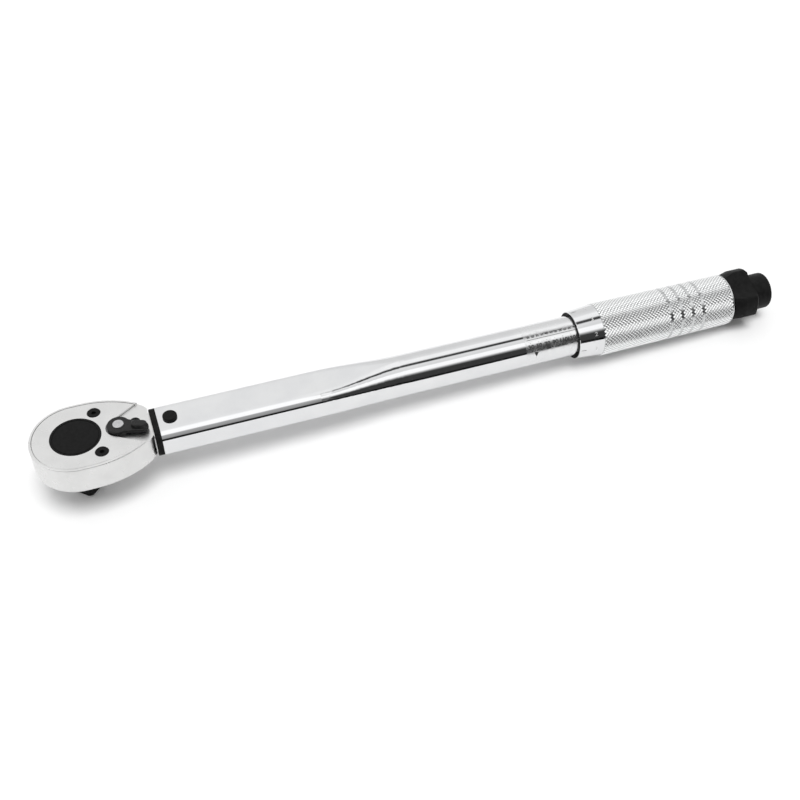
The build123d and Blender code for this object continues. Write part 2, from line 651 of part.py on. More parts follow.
# ---- plug pins: one each side, flush with the tube ----
with BuildPart() as plug_pins:
    with BuildSketch(Plane(origin=(PLUG_PIN_X, -TUBE_R + 0.1, AXIS_Z), z_dir=(0, 1, 0))):
        Circle(PLUG_PIN_R)
    extrude(amount=PLUG_PIN_DEPTH - 0.1)
    mirror(about=Plane.XZ)
plug_pins.part.label = "plug_pins"
export_step(plug_pins.part, "parts/plug_pins.step")

# ---- grip sleeve: thimble and handle in one piece ----
with BuildPart() as grip_sleeve:
    with BuildSketch(ALONG):
        with BuildLine():
            Polyline((SLEEVE_START, SLEEVE_BORE), (SLEEVE_START, THIMBLE_R), (KNURL_START, KNURL_R - 0.4))
            Polyline((KNURL_START, KNURL_R - 0.4), (KNURL_START + 0.8, KNURL_R))
            Line((KNURL_START + 0.8, KNURL_R), (SLEEVE_END - 1, GRIP_END_R))
            Polyline((SLEEVE_END - 1, GRIP_END_R), (SLEEVE_END, GRIP_END_R - 1), (SLEEVE_END, SLEEVE_BORE))
            Line((SLEEVE_END, SLEEVE_BORE), (SLEEVE_START, SLEEVE_BORE))
        make_face()
    revolve(axis=TUBE_AXIS)
    for i in range(GROOVES):
        with BuildSketch(ACROSS.offset(GROOVE_X + i * GROOVE_STEP - GROOVE_W / 2)):
            Circle(KNURL_R + 1)
            Circle(KNURL_R - 0.9, mode=Mode.SUBTRACT)
        extrude(amount=GROOVE_W, mode=Mode.SUBTRACT)
    with BuildSketch(ACROSS.offset(SLEEVE_START + WIPER_SETBACK)):
        Circle(SLEEVE_BORE + WIPER_T)
    extrude(amount=WIPER_W, mode=Mode.SUBTRACT)
grip_sleeve.part.label = "grip_sleeve"
export_step(grip_sleeve.part, "parts/grip_sleeve.step")

# ---- wiper ring in the mouth of the sleeve ----
with BuildPart() as thimble_wiper:
    with BuildSketch(ACROSS.offset(SLEEVE_START + WIPER_SETBACK)):
        Circle(SLEEVE_BORE + WIPER_T)
        Circle(TUBE_R + 0.04, mode=Mode.SUBTRACT)
    extrude(amount=WIPER_W)
thimble_wiper.part.label = "thimble_wiper"
export_step(thimble_wiper.part, "parts/thimble_wiper.step")

# ---- adjusting screw: hollow, with a plain nose, a thread and a rear journal ----
with BuildPart() as adjusting_screw:
    with BuildSketch(ALONG):
        with BuildLine():
            cup_angle = degrees(acos((SCREW_TIP - BALL_X) / CUP_R))
            cup = CenterArc((BALL_X, 0), CUP_R, 0, cup_angle)
            Polyline(cup @ 1, (SCREW_TIP, 4), (SCREW_TIP + 2, THREAD_R - 0.05))
            Line((SCREW_TIP + 2, THREAD_R - 0.05), (THREAD_START, THREAD_R - 0.05))
            turns = round((THREAD_END - THREAD_START) / THREAD_PITCH)
            ridges = [(THREAD_START, THREAD_R - 0.05)]
            for i in range(turns):
                ridges.append((THREAD_START + (i + 0.5) * THREAD_PITCH, THREAD_R - THREAD_DEPTH))
                ridges.append((THREAD_START + (i + 1) * THREAD_PITCH, THREAD_R))
            Polyline(*ridges)
            Polyline(ridges[-1], (HUB_START - 0.5, THREAD_R), (HUB_START - 0.5, JOURNAL_R))
            Polyline((HUB_START - 0.5, JOURNAL_R), (HUB_STEP, JOURNAL_R), (HUB_STEP, 0))
            Line((HUB_STEP, 0), cup @ 0)
        make_face()
    revolve(axis=TUBE_AXIS)
    with BuildSketch(ACROSS.offset(ROD_SPRING_START)):
        Circle(ROD_R + RUNNING)
    extrude(amount=HUB_STEP - ROD_SPRING_START, mode=Mode.SUBTRACT)
    for up in (1, -1):
        with BuildSketch(Plane(origin=(LOCK_X, 0, AXIS_Z), x_dir=(1, up, 0), z_dir=(0, 0, up))):
            Circle(LOCK_BALL_R + RUNNING)
        extrude(amount=THREAD_R + 1, mode=Mode.SUBTRACT)
adjusting_screw.part.label = "adjusting_screw"
export_step(adjusting_screw.part, "parts/adjusting_screw.step")

# ---- hub: joins the sleeve to the screw and guides the lock bolt ----
with BuildPart() as sleeve_hub:
    with BuildSketch(ACROSS.offset(HUB_START)):
        Circle(SLEEVE_BORE)
    extrude(amount=HUB_END - HUB_START)
    chamfer(sleeve_hub.edges().filter_by(GeomType.CIRCLE), length=0.5)
    with BuildSketch(ACROSS.offset(HUB_START)):
        Circle(JOURNAL_R)
    extrude(amount=HUB_STEP - HUB_START, mode=Mode.SUBTRACT)
    with BuildSketch(ACROSS.offset(HUB_STEP)):
        Circle(BOLT_R + RUNNING)
    extrude(amount=HUB_END - HUB_STEP, mode=Mode.SUBTRACT)
    with BuildSketch(Plane(origin=(HUB_PIN_X, -SLEEVE_BORE, AXIS_Z), z_dir=(0, 1, 0))):
        Circle(HUB_PIN_R)
    extrude(amount=2 * SLEEVE_BORE, mode=Mode.SUBTRACT)
sleeve_hub.part.label = "sleeve_hub"
export_step(sleeve_hub.part, "parts/sleeve_hub.step")

with BuildPart() as hub_pins:
    with BuildSketch(Plane(origin=(HUB_PIN_X, -SLEEVE_BORE + 0.1, AXIS_Z), z_dir=(0, 1, 0))):
        Circle(HUB_PIN_R)
    extrude(amount=SLEEVE_BORE - JOURNAL_R - 0.15)
    mirror(about=Plane.XZ)
hub_pins.part.label = "hub_pins"
export_step(hub_pins.part, "parts/hub_pins.step")

# ---- lock rod: its ramp holds the lock balls out, its neck lets them in ----
with BuildPart() as lock_rod:
    with BuildSketch(ALONG):
        with BuildLine():
            Polyline((ROD_START, 0), (ROD_START, ROD_R), (LOCK_X - 6, ROD_R), (LOCK_X - 5.1, ROD_NECK_R))
            Polyline((LOCK_X - 5.1, ROD_NECK_R), (LOCK_X - LOCK_STROKE, ROD_NECK_R), (LOCK_X, ROD_SEAT_R))
            Polyline((LOCK_X, ROD_SEAT_R), (LOCK_X + 3, ROD_SEAT_R), (LOCK_X + 3.4, ROD_R))
            Polyline((LOCK_X + 3.4, ROD_R), (BOLT_START, ROD_R), (BOLT_START, 0), (ROD_START, 0))
        make_face()
    revolve(axis=TUBE_AXIS)
lock_rod.part.label = "lock_rod"
export_step(lock_rod.part, "parts/lock_rod.step")

with BuildPart() as lock_rod_spring:
    first_coil = ACROSS.offset(ROD_SPRING_START + 0.4)
    add(coil(first_coil.location, ROD_START - ROD_SPRING_START - 0.8, 8, 2.0, 0.6))
lock_rod_spring.part.label = "lock_rod_spring"
export_step(lock_rod_spring.part, "parts/lock_rod_spring.step")

# ---- lock balls, above and below the rod ----
with BuildPart() as lock_ball_upper:
    with Locations((LOCK_X, 0, AXIS_Z + LOCK_BALL_OUT)):
        Sphere(LOCK_BALL_R)
lock_ball_upper.part.label = "lock_ball_upper"
export_step(lock_ball_upper.part, "parts/lock_ball_upper.step")

with BuildPart() as lock_ball_lower:
    with Locations((LOCK_X, 0, AXIS_Z - LOCK_BALL_OUT)):
        Sphere(LOCK_BALL_R)
lock_ball_lower.part.label = "lock_ball_lower"
export_step(lock_ball_lower.part, "parts/lock_ball_lower.step")

# ---- lock bolt: the knob's threaded stud ----
with BuildPart() as lock_bolt:
    with BuildSketch(ACROSS.offset(BOLT_START)):
        Circle(BOLT_R)
    extrude(amount=BOLT_END - BOLT_START)
    chamfer(lock_bolt.edges().filter_by(GeomType.CIRCLE), length=0.5)
lock_bolt.part.label = "lock_bolt"
export_step(lock_bolt.part, "parts/lock_bolt.step")

# ---- lock knob: lobed flange and round boss ----
with BuildPart() as lock_knob:
    with BuildSketch(ACROSS.offset(KNOB_START)):
        Circle(LOBE_R)
        with PolarLocations(LOBE_R + SCALLOP_R - SCALLOP_DEPTH, LOBES, start_angle=SCALLOP_ANGLE):
            Circle(SCALLOP_R, mode=Mode.SUBTRACT)
    extrude(amount=FLANGE_END - KNOB_START)
    fillet(lock_knob.edges().filter_by(Axis.X), radius=2.0)
    # the lobes are turned down to a slim taper in front and to a short cone behind
    with BuildSketch(ALONG):
        with BuildLine():
            taper = Line((KNOB_START, LOBE_FRONT_R), (KNOB_START + LOBE_TAPER, LOBE_R))
            Polyline(taper @ 1, (KNOB_START, LOBE_R + 2), taper @ 0)
        make_face()
        with Locations((FLANGE_END, LOBE_R)):
            Rectangle(LOBE_CHAMFER, LOBE_CHAMFER, rotation=45)
    revolve(axis=TUBE_AXIS, mode=Mode.SUBTRACT)
    with BuildSketch(ACROSS.offset(FLANGE_END)):
        Circle(KNOB_R)
    extrude(amount=KNOB_END - FLANGE_END)
    fillet(lock_knob.faces().sort_by(Axis.X)[-1].edges(), radius=1.6)
    with BuildSketch(ACROSS.offset(KNOB_START)):
        Circle(BOLT_R)
    extrude(amount=BOLT_END - KNOB_START, mode=Mode.SUBTRACT)
lock_knob.part.label = "lock_knob"
export_step(lock_knob.part, "parts/lock_knob.step")
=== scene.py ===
# Looks of a click-type torque wrench on a pale floor. Metres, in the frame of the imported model:
# origin on the drive axis at the drive's shoulder, +X along the tube, +Z away from the square.

import json
import math

import bmesh
import bpy
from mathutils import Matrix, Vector


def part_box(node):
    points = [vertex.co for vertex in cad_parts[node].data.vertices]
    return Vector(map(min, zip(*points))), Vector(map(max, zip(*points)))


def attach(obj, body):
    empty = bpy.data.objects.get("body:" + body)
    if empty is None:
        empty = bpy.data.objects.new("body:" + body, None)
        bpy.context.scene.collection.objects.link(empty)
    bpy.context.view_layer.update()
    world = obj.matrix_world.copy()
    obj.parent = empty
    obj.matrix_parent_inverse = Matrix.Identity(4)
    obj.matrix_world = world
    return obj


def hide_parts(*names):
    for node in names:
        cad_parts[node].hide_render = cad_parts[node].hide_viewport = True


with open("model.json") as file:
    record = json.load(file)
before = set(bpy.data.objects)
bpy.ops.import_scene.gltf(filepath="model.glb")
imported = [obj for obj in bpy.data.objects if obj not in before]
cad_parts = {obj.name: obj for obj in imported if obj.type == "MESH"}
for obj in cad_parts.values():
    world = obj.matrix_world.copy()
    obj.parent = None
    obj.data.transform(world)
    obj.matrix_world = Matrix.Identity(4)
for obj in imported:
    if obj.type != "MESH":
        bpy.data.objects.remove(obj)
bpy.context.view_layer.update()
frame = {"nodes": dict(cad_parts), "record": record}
nodes = frame["nodes"]
MM = 0.001

# ---- places taken from the frame ----
tube_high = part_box("tube")[1]
grip_low, grip_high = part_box("grip_sleeve")
bolt_low, bolt_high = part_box("lock_bolt")
knob_low, knob_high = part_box("lock_knob")
TIP_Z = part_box("drive_gear")[0].z  # end of the square drive
AXIS_Z = (bolt_low.z + bolt_high.z) / 2  # height of the tube's axis
TUBE_R = tube_high.z - AXIS_Z  # radius of the round part of the tube
GRIP_START = grip_low.x
GRIP_END = grip_high.x
CREST_R = (grip_high.z - grip_low.z) / 2  # radius over the knurl's crests

# ---- sizes of the thimble and the grip ----
KNURL_START = GRIP_START + 16.1 * MM
KNURL_END = GRIP_END - 1.2 * MM
KNURL_PITCH = 2.35 * MM
KNURL_DEPTH = 0.42 * MM
KNURL_STARTS = 46
AROUND = 2 * KNURL_STARTS  # points round the grip, a crest and a valley for each start
THIMBLE_R = 15.2 * MM  # at the thimble's mouth
THIMBLE_EDGE = 0.15 * MM
THIMBLE_END = KNURL_START - 0.6 * MM
THIMBLE_END_R = CREST_R - 0.45 * MM
WIPER_R = 14.62 * MM  # recess of the black ring
WIPER_DEPTH = 2.8 * MM
BORE_R = TUBE_R + 0.08 * MM
END_R = CREST_R - 0.5 * MM  # the grip narrows towards the knob
GROOVES = 4
GROOVE_START = GRIP_START + 63.4 * MM
GROOVE_STEP = 7.5 * MM
GROOVE_W = 0.9 * MM
GROOVE_R = CREST_R - 0.9 * MM
GROOVE_SLOPE = 0.12 * MM
GROOVE_TONE = 0.14  # painted shade of a plain groove: how far it counts as a crest, which is 1

# ---- etched scales: rows by their angle up from the near side ----
SCALE_START = GRIP_START - 35 * MM
SCALE_END = GRIP_START + 24 * MM
SCALE_LIFT = 0.03 * MM
SMALL_ROW = math.radians(66)
DATUM_ROW = math.radians(58)
TICK_ROW = math.radians(53)
LARGE_ROW = math.radians(37)
LOWER_ROW = math.radians(24)
POINTER_ROW = math.radians(14)

# ---- camera ----
CAMERA_PLACE = (0.02746, -0.48015, 0.49646)
CAMERA_TARGET = (0.19022, -0.00726, -0.0011)
LENS_MM = 52.0
SENSOR_MM = 36.0


# =====================================================================
# materials
# =====================================================================
def new_material(name, colour, metallic, roughness, specular=0.5):
    """Principled material; returns it with its node tree and shader."""
    mat = bpy.data.materials.new(name)
    mat.use_nodes = True
    shader = mat.node_tree.nodes["Principled BSDF"]
    shader.inputs["Base Color"].default_value = (*colour, 1)
    shader.inputs["Metallic"].default_value = metallic
    shader.inputs["Roughness"].default_value = roughness
    shader.inputs["Specular IOR Level"].default_value = specular
    return mat, mat.node_tree, shader


def object_noise(tree, scale, detail=4.0, stretch=(1, 1, 1)):
    """Noise over the object's own coordinates, in features per metre."""
    coords = tree.nodes.new("ShaderNodeTexCoord")
    mapping = tree.nodes.new("ShaderNodeMapping")
    mapping.inputs["Scale"].default_value = stretch
    noise = tree.nodes.new("ShaderNodeTexNoise")
    noise.inputs["Scale"].default_value = scale
    noise.inputs["Detail"].default_value = detail
    tree.links.new(coords.outputs["Object"], mapping.inputs["Vector"])
    tree.links.new(mapping.outputs["Vector"], noise.inputs["Vector"])
    return noise.outputs["Fac"]


def vary_roughness(tree, shader, scale, low, high):
    """Roughness that goes from low to high over 0.3..0.7 of a noise."""
    ranged = tree.nodes.new("ShaderNodeMapRange")
    ranged.inputs["From Min"].default_value = 0.3
    ranged.inputs["From Max"].default_value = 0.7
    ranged.inputs["To Min"].default_value = low
    ranged.inputs["To Max"].default_value = high
    tree.links.new(object_noise(tree, scale), ranged.inputs["Value"])
    tree.links.new(ranged.outputs["Result"], shader.inputs["Roughness"])


def add_bump(tree, shader, height, strength, distance):
    """Fine relief from a height."""
    bump = tree.nodes.new("ShaderNodeBump")
    bump.inputs["Strength"].default_value = strength
    bump.inputs["Distance"].default_value = distance
    tree.links.new(height, bump.inputs["Height"])
    tree.links.new(bump.outputs["Normal"], shader.inputs["Normal"])


def tint(tree, shader, source, dark, light, start=0.35, end=0.65):
    """Base colour that goes from dark to light over a part of the source's range."""
    ramp = tree.nodes.new("ShaderNodeValToRGB")
    ramp.color_ramp.elements[0].position = start
    ramp.color_ramp.elements[0].color = (*dark, 1)
    ramp.color_ramp.elements[1].position = end
    ramp.color_ramp.elements[1].color = (*light, 1)
    tree.links.new(source, ramp.inputs["Fac"])
    tree.links.new(ramp.outputs["Color"], shader.inputs["Base Color"])


def satin_chrome():
    """Bead-blasted plate: fine grain, soft broad reflections."""
    mat, tree, shader = new_material("satin_chrome", (0.7, 0.7, 0.695), 1.0, 0.3)
    tint(tree, shader, object_noise(tree, 90), (0.68, 0.68, 0.675), (0.72, 0.72, 0.715))
    vary_roughness(tree, shader, 260, 0.26, 0.36)
    add_bump(tree, shader, object_noise(tree, 4200, 2.0), 0.12, 0.00005)
    return mat


def polished_chrome():
    """Bright plate with hairlines along the tube and faint handling haze."""
    mat, tree, shader = new_material("polished_chrome", (0.73, 0.735, 0.745), 1.0, 0.06)
    tint(tree, shader, object_noise(tree, 60), (0.71, 0.715, 0.725), (0.75, 0.755, 0.76))
    vary_roughness(tree, shader, 120, 0.05, 0.09)
    hairlines = object_noise(tree, 900, 3.0, (0.02, 1, 1))
    add_bump(tree, shader, hairlines, 0.05, 0.00003)
    return mat


def etched_chrome():
    """The scale's band on the tube: the same plate, brushed round the tube."""
    mat, tree, shader = new_material("etched_chrome", (0.74, 0.745, 0.75), 1.0, 0.2)
    vary_roughness(tree, shader, 300, 0.16, 0.3)
    brushing = object_noise(tree, 1500, 3.0, (1, 0.1, 0.1))
    add_bump(tree, shader, brushing, 0.25, 0.00005)
    return mat


def knurled_chrome():
    """Satin plate over the knurl, with painted shade in the valleys and plain grooves and a painted
    highlight on the crests.
    """
    mat, tree, shader = new_material("knurled_chrome", (0.7, 0.71, 0.71), 1.0, 0.22)
    height = tree.nodes.new("ShaderNodeAttribute")
    height.attribute_name = "crest"
    # painted shade: valleys and plain grooves dark, crests painted light as a painted highlight, by the
    # crest share
    tint(tree, shader, height.outputs["Fac"], (0.36, 0.365, 0.37), (0.9, 0.91, 0.91), 0.03, 0.3)
    vary_roughness(tree, shader, 420, 0.16, 0.3)
    add_bump(tree, shader, object_noise(tree, 5200, 2.0), 0.12, 0.00004)
    return mat


def black_metal(name, colour, roughness, specular):
    """Black oxide or lacquer with a slight orange-peel."""
    mat, tree, shader = new_material(name, colour, 0.0, roughness, specular)
    light = tuple(1.6 * c for c in colour)
    tint(tree, shader, object_noise(tree, 500), colour, light)
    vary_roughness(tree, shader, 700, roughness - 0.05, roughness + 0.08)
    add_bump(tree, shader, object_noise(tree, 2600, 3.0), 0.15, 0.00008)
    return mat


def moulded_plastic():
    """Matt moulded plastic with a fine spark-eroded grain."""
    mat, tree, shader = new_material("moulded_plastic", (0.007, 0.007, 0.007), 0.0, 0.5, 0.09)
    tint(tree, shader, object_noise(tree, 300), (0.005, 0.005, 0.005), (0.009, 0.009, 0.009))
    vary_roughness(tree, shader, 350, 0.42, 0.56)
    add_bump(tree, shader, object_noise(tree, 3600, 4.0), 0.3, 0.0001)
    return mat


def black_rubber():
    """Dull rubber of the collar and the wiper ring."""
    mat, tree, shader = new_material("black_rubber", (0.007, 0.007, 0.007), 0.0, 0.6, 0.08)
    tint(tree, shader, object_noise(tree, 400), (0.005, 0.005, 0.005), (0.01, 0.01, 0.01))
    add_bump(tree, shader, object_noise(tree, 2200, 3.0), 0.2, 0.0001)
    return mat


def ground_metal(name, dark, light, roughness):
    """Ground, turned or wound metal with fine marks."""
    mat, tree, shader = new_material(name, light, 1.0, roughness)
    tint(tree, shader, object_noise(tree, 350), dark, light)
    vary_roughness(tree, shader, 900, roughness - 0.06, roughness + 0.08)
    add_bump(tree, shader, object_noise(tree, 3000, 2.0), 0.12, 0.00005)
    return mat


def engraved_paint():
    """Dark fill of the engraved figures."""
    mat, tree, shader = new_material("engraved_paint", (0.02, 0.02, 0.02), 0.0, 0.55, 0.2)
    tint(tree, shader, object_noise(tree, 1500), (0.015, 0.015, 0.015), (0.05, 0.05, 0.05))
    return mat


def engraved_bright():
    """Bright burr of the thimble's digits, pale against the dark reflection."""
    mat, tree, shader = new_material("engraved_bright", (0.8, 0.8, 0.8), 1.0, 0.5)
    tint(tree, shader, object_noise(tree, 1800), (0.55, 0.55, 0.55), (0.9, 0.9, 0.9))
    return mat


POLISHED = polished_chrome()
ETCHED = etched_chrome()
KNURLED = knurled_chrome()
INK = engraved_paint()
BURR = engraved_bright()

finish_of = {
    "satin_chrome": satin_chrome(),
    "polished_chrome": POLISHED,
    "knurled_chrome": KNURLED,
    "black_steel": black_metal("black_oxide", (0.005, 0.005, 0.005), 0.42, 0.08),
    "lever_black": black_metal("lever_black", (0.008, 0.008, 0.008), 0.3, 0.25),
    "plain_steel": ground_metal("ground_steel", (0.46, 0.46, 0.47), (0.58, 0.58, 0.59), 0.26),
    "spring_steel": ground_metal("spring_steel", (0.22, 0.22, 0.24), (0.36, 0.36, 0.38), 0.34),
    "brass": ground_metal("brass", (0.6, 0.46, 0.2), (0.75, 0.6, 0.3), 0.26),
    "black_plastic": moulded_plastic(),
    "black_rubber": black_rubber(),
}
slot_of = {part["node"]: part["material_slot"] for part in frame["record"]["subparts"]}
for name, node in nodes.items():
    node.data.materials.clear()
    node.data.materials.append(finish_of[slot_of[name]])


# =====================================================================
# pieces made here
# =====================================================================
def new_mesh(name, points, faces, material):
    """Mesh of the points and faces, in one material."""
    mesh = bpy.data.meshes.new(name)
    mesh.from_pydata(points, [], faces)
    mesh.materials.append(material)
    return mesh


def place(name, data):
    """New object of a mesh, curve, light or camera, linked to the scene."""
    obj = bpy.data.objects.new(name, data)
    bpy.context.scene.collection.objects.link(obj)
    return obj


# =====================================================================
# knurled grip: cone, knurl, ring grooves and bore in one lathe mesh
# =====================================================================
def knurled_lands():
    """Start and end of the knurled stretches between the ring grooves."""
    lands = []
    left = KNURL_START
    for i in range(GROOVES):
        middle = GROOVE_START + i * GROOVE_STEP
        lands.append((left, middle - GROOVE_W / 2))
        left = middle + GROOVE_W / 2
    lands.append((left, KNURL_END))
    return lands


def land_rows(start, end):
    """Rows of one knurled stretch, which starts and ends at the depth of the valleys."""
    rows = []
    half_pitches = 2 * round((end - start) / KNURL_PITCH)
    for k in range(half_pitches + 1):
        x = start + (end - start) * k / half_pitches
        crest = CREST_R + (END_R - CREST_R) * (x - KNURL_START) / (GRIP_END - KNURL_START)
        if 0 < k < half_pitches:
            rows.append((x, crest, True))
        else:
            rows.append((x, crest - KNURL_DEPTH, False))
    return rows


def lathe_rows():
    """Rows along X as (x, radius, knurled); a knurled row alternates between crest and valley."""
    rows = [
        (GRIP_START + WIPER_DEPTH, BORE_R, False),
        (GRIP_START + WIPER_DEPTH, WIPER_R, False),
        (GRIP_START, WIPER_R, False),
        (GRIP_START, THIMBLE_R - THIMBLE_EDGE, False),
        (GRIP_START + THIMBLE_EDGE, THIMBLE_R, False),
        (THIMBLE_END, THIMBLE_END_R, False),
        (KNURL_START - 0.1 * MM, CREST_R - KNURL_DEPTH, False),
    ]
    for start, end in knurled_lands():
        rows.extend(land_rows(start, end))
        if end < KNURL_END:
            rows.append((end + GROOVE_SLOPE, GROOVE_R, False))
            rows.append((end + GROOVE_W - GROOVE_SLOPE, GROOVE_R, False))
    # rounded rear edge and end face
    rows.append((GRIP_END - 0.9 * MM, END_R - 0.2 * MM, False))
    rows.append((GRIP_END - 0.2 * MM, END_R - 0.8 * MM, False))
    rows.append((GRIP_END, END_R - 1.1 * MM, False))
    rows.append((GRIP_END, BORE_R, False))
    return rows


def lathe_points(rows):
    """Points of the rows, and for each how far it counts as a crest, which sets the knurl's painted
    shade and painted highlight.
    """
    points = []
    crests = []
    for j, (x, radius, knurled) in enumerate(rows):
        plain_tone = 1.0
        # plain rows past the knurl's start get the grooves' painted shade
        if not knurled and x > KNURL_START - 0.2 * MM:
            plain_tone = GROOVE_TONE
        for i in range(AROUND):
            valley = knurled and (i + j) % 2 == 0
            r = radius - KNURL_DEPTH if valley else radius
            turn = 2 * math.pi * i / AROUND
            points.append((x, r * math.cos(turn), AXIS_Z + r * math.sin(turn)))
            crests.append(0.0 if valley else plain_tone)
    return points, crests


def lathe_faces(rows):
    """Faces between the rows, and which are smooth; at the knurl, triangles follow the diamonds."""
    faces = []
    smooth = []
    for j in range(len(rows)):
        following = (j + 1) % len(rows)
        patterned = rows[j][2] or rows[following][2]
        for i in range(AROUND):
            a = j * AROUND + i
            b = j * AROUND + (i + 1) % AROUND
            c = following * AROUND + (i + 1) % AROUND
            d = following * AROUND + i
            if not patterned:
                faces.append((a, b, c, d))
            elif (i + j) % 2 == 0:
                faces.extend([(a, b, c), (a, c, d)])
            else:
                faces.extend([(a, b, d), (b, c, d)])
            smooth.extend([not patterned] * (2 if patterned else 1))
    return faces, smooth


def knurled_grip():
    """The one-piece thimble and grip, in place of the plain CAD sleeve."""
    rows = lathe_rows()
    points, crests = lathe_points(rows)
    faces, smooth = lathe_faces(rows)
    mesh = new_mesh("knurled_grip", points, faces, KNURLED)
    mesh.polygons.foreach_set("use_smooth", smooth)
    # crest share, read by the knurl material for its painted shade and painted highlight
    mesh.attributes.new("crest", "FLOAT", "POINT").data.foreach_set("value", crests)
    mesh.materials.append(POLISHED)
    for face in mesh.polygons:
        if face.center.x < KNURL_START - 0.1 * MM:
            face.material_index = 1
    mesh.update()
    grip = place("knurled_grip", mesh)
    corners = grip.modifiers.new("corners", "EDGE_SPLIT")
    corners.split_angle = math.radians(28)
    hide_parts("grip_sleeve")
    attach(grip, "handle")


knurled_grip()


# =====================================================================
# scales: figures and lines that lie on the tube and the thimble
# =====================================================================
def wrap(obj, x, radius, angle):
    """Bends a flat mesh (X along the tube, Y round it) onto a cone about the tube's axis."""
    for vertex in obj.data.vertices:
        px, py, pz = vertex.co
        r = radius(x + px) + SCALE_LIFT + pz
        turn = angle + py / radius(x)
        vertex.co = (x + px, -r * math.cos(turn), AXIS_Z + r * math.sin(turn))


def on_tube(x):
    """Radius of the tube's round part, the same at every x."""
    return TUBE_R


def on_thimble(x):
    """Radius of the thimble's cone at x."""
    mouth = GRIP_START + THIMBLE_EDGE
    share = (x - mouth) / (THIMBLE_END - mouth)
    return THIMBLE_R + (THIMBLE_END_R - THIMBLE_R) * share


def refine(mesh, longest):
    """Splits the long edges of a flat mesh, so that it follows a curve when bent."""
    work = bmesh.new()
    work.from_mesh(mesh)
    for _ in range(4):
        bmesh.ops.triangulate(work, faces=work.faces)
        long_edges = [edge for edge in work.edges if edge.calc_length() > longest]
        bmesh.ops.subdivide_edges(work, edges=long_edges, cuts=1)
    bmesh.ops.triangulate(work, faces=work.faces)
    work.to_mesh(mesh)
    work.free()


def figure(text, name, size, material):
    """A flat mesh of the text, centred, with enough vertices to be bent."""
    curve = bpy.data.curves.new(name, "FONT")
    curve.body = text
    curve.size = size
    curve.align_x = "CENTER"
    curve.align_y = "CENTER"
    curve.resolution_u = 3
    curve.offset = size * 0.03
    holder = place(name + "_text", curve)
    bpy.context.view_layer.update()
    evaluated = holder.evaluated_get(bpy.context.evaluated_depsgraph_get())
    mesh = bpy.data.meshes.new_from_object(evaluated)
    bpy.data.objects.remove(holder)
    refine(mesh, 0.6 * MM)
    mesh.materials.clear()
    mesh.materials.append(material)
    return place(name, mesh)


def bar(name, length, width):
    """A thin flat strip along X, in short steps."""
    steps = 6
    points = [(length * (k / steps - 0.5), s * width / 2, 0) for k in range(steps + 1) for s in (-1, 1)]
    quads = [(2 * k, 2 * k + 2, 2 * k + 3, 2 * k + 1) for k in range(steps)]
    return place(name, new_mesh(name, points, quads, INK))


def arrowhead(name, width):
    """A flat triangle that points down round the tube."""
    half = width / 2
    mesh = new_mesh(name, [(-half, half, 0), (half, half, 0), (0, -half, 0)], [(0, 2, 1)], INK)
    refine(mesh, 0.6 * MM)
    return place(name, mesh)


def join(parts, name):
    """One object of several, with the name given."""
    with bpy.context.temp_override(active_object=parts[0], selected_editable_objects=parts):
        bpy.ops.object.join()
    parts[0].name = name
    return parts[0]


def etched_patch():
    """The dulled strip of the tube that carries the scale."""
    steps = 80
    turns = [math.radians(-12 + 120 * k / steps) for k in range(steps + 1)]
    r = TUBE_R + 0.01 * MM
    points = []
    for x in (SCALE_START, SCALE_END):
        points.extend((x, -r * math.cos(turn), AXIS_Z + r * math.sin(turn)) for turn in turns)
    n = len(turns)
    quads = [(k, k + 1, n + k + 1, n + k) for k in range(steps)]
    mesh = new_mesh("etched_patch", points, quads, ETCHED)
    mesh.polygons.foreach_set("use_smooth", [True] * steps)
    patch = place("etched_patch", mesh)
    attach(patch, "housing")


def small_figures():
    """The upper row of the tube's scale."""
    marks = []
    for i in range(18):
        mark = figure(str(20 + 5 * i), f"small_{i}", 1.9 * MM, INK)
        wrap(mark, SCALE_START + (3 + 3.1 * i) * MM, on_tube, SMALL_ROW)
        marks.append(mark)
    return marks


def large_figures():
    """The lower row of the tube's scale, with a tick above and a short line below each figure."""
    marks = []
    for i in range(10):
        x = SCALE_START + (3.5 + 5.4 * i) * MM
        mark = figure(str(30 + 20 * i), f"large_{i}", 3.9 * MM, INK)
        wrap(mark, x, on_tube, LARGE_ROW)
        tick = bar(f"tick_{i}", 0.35 * MM, 2.2 * MM)
        wrap(tick, x, on_tube, TICK_ROW)
        lower = bar(f"lower_tick_{i}", 3.0 * MM, 0.35 * MM)
        wrap(lower, x + 0.8 * MM, on_tube, LOWER_ROW)
        marks.extend([mark, tick, lower])
    return marks


def tube_scale():
    """Two rows of figures, ticks, a datum line and the pointer, engraved and filled with black."""
    marks = small_figures() + large_figures()
    datum = bar("datum", 53 * MM, 0.25 * MM)
    wrap(datum, SCALE_START + 28 * MM, on_tube, DATUM_ROW)
    pointer = arrowhead("pointer", 3 * MM)
    wrap(pointer, SCALE_START + 6.5 * MM, on_tube, POINTER_ROW)
    scale = join(marks + [datum, pointer], "tube_scale")
    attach(scale, "housing")


def thimble_scale():
    """Ten black lines at the thimble's mouth, with a bright digit for each."""
    marks = []
    for i in range(10):
        turn = math.radians(-38 + 36 * i)
        line = bar(f"line_{i}", 3.2 * MM, 0.3 * MM)
        wrap(line, GRIP_START + 2.6 * MM, on_thimble, turn)
        digit = figure(str(i), f"digit_{i}", 3.6 * MM, BURR)
        wrap(digit, KNURL_START - 5.2 * MM, on_thimble, turn)
        marks.extend([line, digit])
    scale = join(marks, "thimble_scale")
    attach(scale, "handle")


etched_patch()
tube_scale()
thimble_scale()


